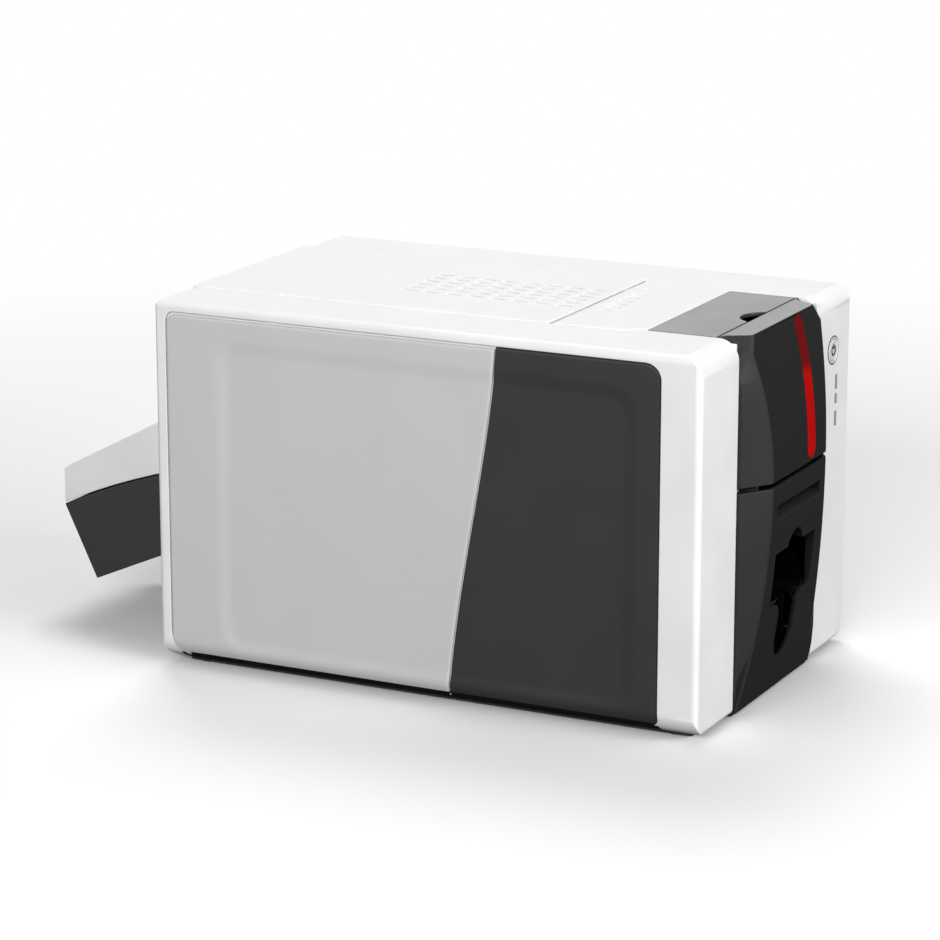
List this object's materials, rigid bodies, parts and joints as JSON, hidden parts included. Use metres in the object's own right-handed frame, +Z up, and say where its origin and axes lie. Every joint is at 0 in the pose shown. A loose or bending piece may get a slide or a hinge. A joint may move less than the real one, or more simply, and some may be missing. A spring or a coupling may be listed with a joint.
{
  "type": "id card printer",
  "caption": "Desktop card printer with a hinged lid over its ribbon and print head, a card slot and output hopper in front and a tilted rear card feeder.",
  "frame": {"origin": "centre of the part's bounding box in plan, at the height its feet stand on", "axes": "+X to the printer's left-hand side seen from the rear, towards the side with the button; +Y to the rear, towards the card feeder; +Z up"},
  "size_m": [0.205, 0.4238, 0.1985],
  "materials": {
    "shell_white": "satin",
    "cover_white": "satin",
    "panel_pale": "satin",
    "panel_dark": "satin",
    "front_dark": "semi-gloss",
    "inner_black": "matt",
    "accent_red": "gloss",
    "lens_clear": "gloss",
    "button_pale": "satin",
    "foot_rubber": "matt",
    "roller_rubber": "matt",
    "cleaner_blue": "tacky",
    "belt_rubber": "matt",
    "frame_steel": "zinc plated",
    "rod_steel": "ground",
    "bush_bronze": "sintered",
    "motor_dark": "matt",
    "board_green": "solder mask",
    "ribbon_film": "film",
    "spool_plastic": "satin",
    "head_ceramic": "glazed",
    "sink_aluminium": "extruded",
    "gauge_orange": "satin",
    "port_metal": "nickel"
  },
  "bodies": {
    "printer": {"left_side_shell": "shell_white", "right_side_shell": "shell_white", "left_rear_side_panel": "panel_pale", "left_front_side_panel": "panel_dark", "right_rear_side_panel": "panel_pale", "right_front_side_panel": "panel_dark", "rear_top_cover": "cover_white", "rear_panel": "panel_pale", "base_tray": "panel_dark", "rubber_feet": "foot_rubber", "case_screws": "rod_steel", "lower_front_fascia": "front_dark", "output_hopper": "inner_black", "frame_plates": "frame_steel", "frame_tie_rods": "rod_steel", "shaft_bushes": "bush_bronze", "lower_card_guide": "inner_black", "upper_card_guide": "inner_black", "drive_motor": "motor_dark", "drive_belts": "belt_rubber", "ribbon_motor": "port_metal", "main_board": "board_green", "control_board": "board_green", "power_inlet": "inner_black", "power_switch_frame": "inner_black", "data_ports": "port_metal", "status_lenses": "lens_clear", "hinge_pins": "rod_steel", "ribbon_film": "ribbon_film", "feeder_body": "panel_dark"},
    "lid": {"lid_front_cover": "front_dark", "lid_accent_strip": "accent_red", "lid_top_panel": "front_dark", "lid_rear_cover": "cover_white", "lid_inner_frame": "inner_black", "head_springs": "rod_steel"},
    "head": {"print_head": "head_ceramic", "head_heatsink": "sink_aluminium"},
    "latch": {"lid_latch": "inner_black"},
    "button": {"control_button": "button_pale"},
    "power_rocker": {"power_switch_rocker": "inner_black"},
    "platen": {"platen_roller": "roller_rubber"},
    "front_transport": {"front_transport_roller": "roller_rubber"},
    "middle_transport": {"middle_transport_roller": "roller_rubber"},
    "rear_transport": {"rear_transport_roller": "roller_rubber"},
    "entry": {"entry_roller": "roller_rubber"},
    "pick": {"pick_roller": "roller_rubber"},
    "motor_shaft": {"motor_pulley": "rod_steel"},
    "front_pinch": {"front_pinch_roller": "rod_steel"},
    "rear_pinch": {"rear_pinch_roller": "rod_steel"},
    "entry_pinch": {"entry_pinch_roller": "rod_steel"},
    "cleaning": {"cleaning_roller": "cleaner_blue"},
    "supply": {"ribbon_supply_spool": "spool_plastic"},
    "takeup": {"ribbon_takeup_spool": "spool_plastic"},
    "ribbon_shaft": {"ribbon_pinion": "bush_bronze"},
    "feeder_lid": {"feeder_cover": "cover_white"},
    "pusher": {"card_pusher": "inner_black"},
    "gauge": {"thickness_gauge": "gauge_orange"}
  },
  "joints": [
    {"name": "lid_hinge", "type": "hinge", "parent": "printer", "child": "lid", "pos_m": [0, -0.10199, 0.194], "axis": [-1, 0, 0], "range_deg": [0, 75]},
    {"name": "head_float", "type": "slide", "parent": "lid", "child": "head", "axis": [0, 0, 1], "range_m": [0, 0.0012], "stiffness_N_per_m": 800, "springref_m": -0.0015},
    {"name": "latch_pivot", "type": "hinge", "parent": "lid", "child": "latch", "pos_m": [0, -0.19149, 0.179], "axis": [-1, 0, 0], "range_deg": [0, 10], "stiffness_Nm_per_rad": 0.05, "springref_deg": -8.59},
    {"name": "button_press", "type": "slide", "parent": "printer", "child": "button", "axis": [0, 1, 0], "range_m": [0, 0.0008], "stiffness_N_per_m": 400, "springref_m": -0.0006},
    {"name": "power_rock", "type": "hinge", "parent": "printer", "child": "power_rocker", "pos_m": [0, 0.10931, 0.022], "axis": [1, 0, 0], "range_deg": [0, 12]},
    {"name": "platen_spin", "type": "hinge", "parent": "printer", "child": "platen", "pos_m": [0, -0.13749, 0.0996], "axis": [1, 0, 0], "continuous": true},
    {"name": "front_transport_spin", "type": "hinge", "parent": "printer", "child": "front_transport", "pos_m": [0, -0.17549, 0.0996], "axis": [1, 0, 0], "continuous": true},
    {"name": "middle_transport_spin", "type": "hinge", "parent": "printer", "child": "middle_transport", "pos_m": [0, -0.10349, 0.0996], "axis": [1, 0, 0], "continuous": true},
    {"name": "rear_transport_spin", "type": "hinge", "parent": "printer", "child": "rear_transport", "pos_m": [0, -0.03449, 0.0996], "axis": [1, 0, 0], "continuous": true},
    {"name": "entry_spin", "type": "hinge", "parent": "printer", "child": "entry", "pos_m": [0, 0.03306, 0.08553], "axis": [1, 0, 0], "continuous": true},
    {"name": "pick_spin", "type": "hinge", "parent": "printer", "child": "pick", "pos_m": [0, 0.1005, 0.05458], "axis": [1, 0, 0], "continuous": true},
    {"name": "motor_spin", "type": "hinge", "parent": "printer", "child": "motor_shaft", "pos_m": [0, -0.07949, 0.043], "axis": [1, 0, 0], "continuous": true},
    {"name": "front_pinch_spin", "type": "hinge", "parent": "printer", "child": "front_pinch", "pos_m": [0, -0.17549, 0.1095], "axis": [1, 0, 0], "continuous": true},
    {"name": "rear_pinch_spin", "type": "hinge", "parent": "printer", "child": "rear_pinch", "pos_m": [0, -0.03449, 0.1105], "axis": [1, 0, 0], "continuous": true},
    {"name": "entry_pinch_spin", "type": "hinge", "parent": "printer", "child": "entry_pinch", "pos_m": [0, 0.03743, 0.09552], "axis": [1, 0, 0], "continuous": true},
    {"name": "cleaning_spin", "type": "hinge", "parent": "printer", "child": "cleaning", "pos_m": [0, -0.10349, 0.1125], "axis": [1, 0, 0], "continuous": true},
    {"name": "supply_spin", "type": "hinge", "parent": "printer", "child": "supply", "pos_m": [0, -0.11149, 0.143], "axis": [1, 0, 0], "continuous": true},
    {"name": "takeup_spin", "type": "hinge", "parent": "printer", "child": "takeup", "pos_m": [0, -0.19099, 0.13], "axis": [1, 0, 0], "continuous": true},
    {"name": "ribbon_motor_spin", "type": "hinge", "parent": "printer", "child": "ribbon_shaft", "pos_m": [0, -0.18552, 0.11496], "axis": [1, 0, 0], "continuous": true},
    {"name": "feeder_hinge", "type": "hinge", "parent": "printer", "child": "feeder_lid", "pos_m": [0, 0.11851, 0.123], "axis": [1, 0, 0], "range_deg": [0, 60]},
    {"name": "pusher_slide", "type": "slide", "parent": "printer", "child": "pusher", "axis": [0, 0.4011, 0.916], "range_m": [0, 0.028]},
    {"name": "gauge_slide", "type": "slide", "parent": "printer", "child": "gauge", "axis": [0, 0.4011, 0.916], "range_m": [0, 0.001]}
  ],
  "couplings": [
    {"joint": "front_transport_spin", "follows": "platen_spin", "ratio": 1},
    {"joint": "middle_transport_spin", "follows": "platen_spin", "ratio": 1},
    {"joint": "rear_transport_spin", "follows": "platen_spin", "ratio": 1},
    {"joint": "entry_spin", "follows": "platen_spin", "ratio": 1},
    {"joint": "pick_spin", "follows": "platen_spin", "ratio": 0.75},
    {"joint": "motor_spin", "follows": "platen_spin", "ratio": 1.5},
    {"joint": "front_pinch_spin", "follows": "platen_spin", "ratio": -2},
    {"joint": "rear_pinch_spin", "follows": "platen_spin", "ratio": -1.5},
    {"joint": "entry_pinch_spin", "follows": "platen_spin", "ratio": -1.5},
    {"joint": "cleaning_spin", "follows": "platen_spin", "ratio": -1},
    {"joint": "takeup_spin", "follows": "supply_spin", "ratio": 1.6},
    {"joint": "ribbon_motor_spin", "follows": "supply_spin", "ratio": -2.6667}
  ]
}
